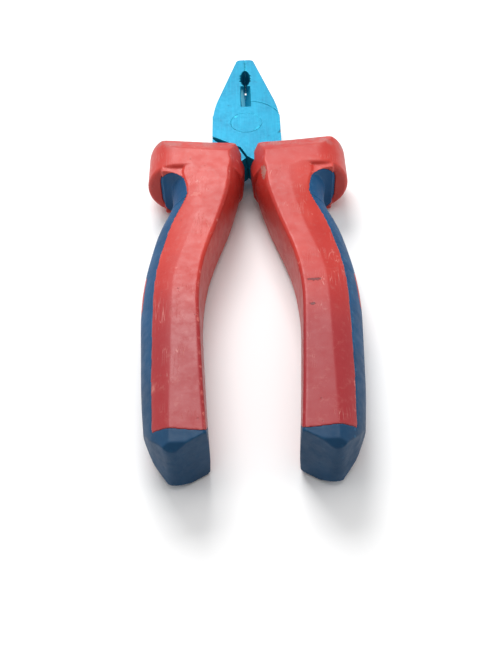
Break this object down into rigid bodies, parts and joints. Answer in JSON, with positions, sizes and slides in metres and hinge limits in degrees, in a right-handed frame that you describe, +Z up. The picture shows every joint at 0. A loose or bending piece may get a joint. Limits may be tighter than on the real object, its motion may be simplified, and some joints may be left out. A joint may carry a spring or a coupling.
{
  "type": "insulated combination pliers",
  "caption": "Insulated combination pliers with flat serrated nose, oval pipe grip and side cutters on a riveted lap joint, and guarded hard grips with soft backs.",
  "frame": {"origin": "on the resting plane, under the middle of the overall length and width, with the jaws closed", "axes": "+X to the right handle, +Y along the tool towards the jaw tips, +Z up out of the front face; the joint axis is parallel to Z"},
  "size_m": [0.0608, 0.16, 0.019],
  "materials": {
    "forged_steel": "satin bright steel with a cyan-blue tint, worn bare along the edges",
    "rivet_steel": "satin, ground flush with the head",
    "inner_insulation": "smooth warning layer under the grip",
    "hard_grip": "matt moulded red, faded and scuffed",
    "soft_grip": "soft-touch blue, matt"
  },
  "bodies": {
    "right_half": {"front_jaw_half": "forged_steel", "pivot_rivet": "rivet_steel", "right_tang_sleeve": "inner_insulation", "right_grip_core": "hard_grip", "right_soft_grip": "soft_grip", "right_thumb_pad": "soft_grip"},
    "left_half": {"rear_jaw_half": "forged_steel", "left_tang_sleeve": "inner_insulation", "left_grip_core": "hard_grip", "left_soft_grip": "soft_grip", "left_thumb_pad": "soft_grip"}
  },
  "joints": [
    {"name": "jaw_pivot", "type": "hinge", "parent": "right_half", "child": "left_half", "pos_m": [0, 0.0449, 0.0095], "axis": [0, 0, -1], "range_deg": [0, 38]}
  ]
}
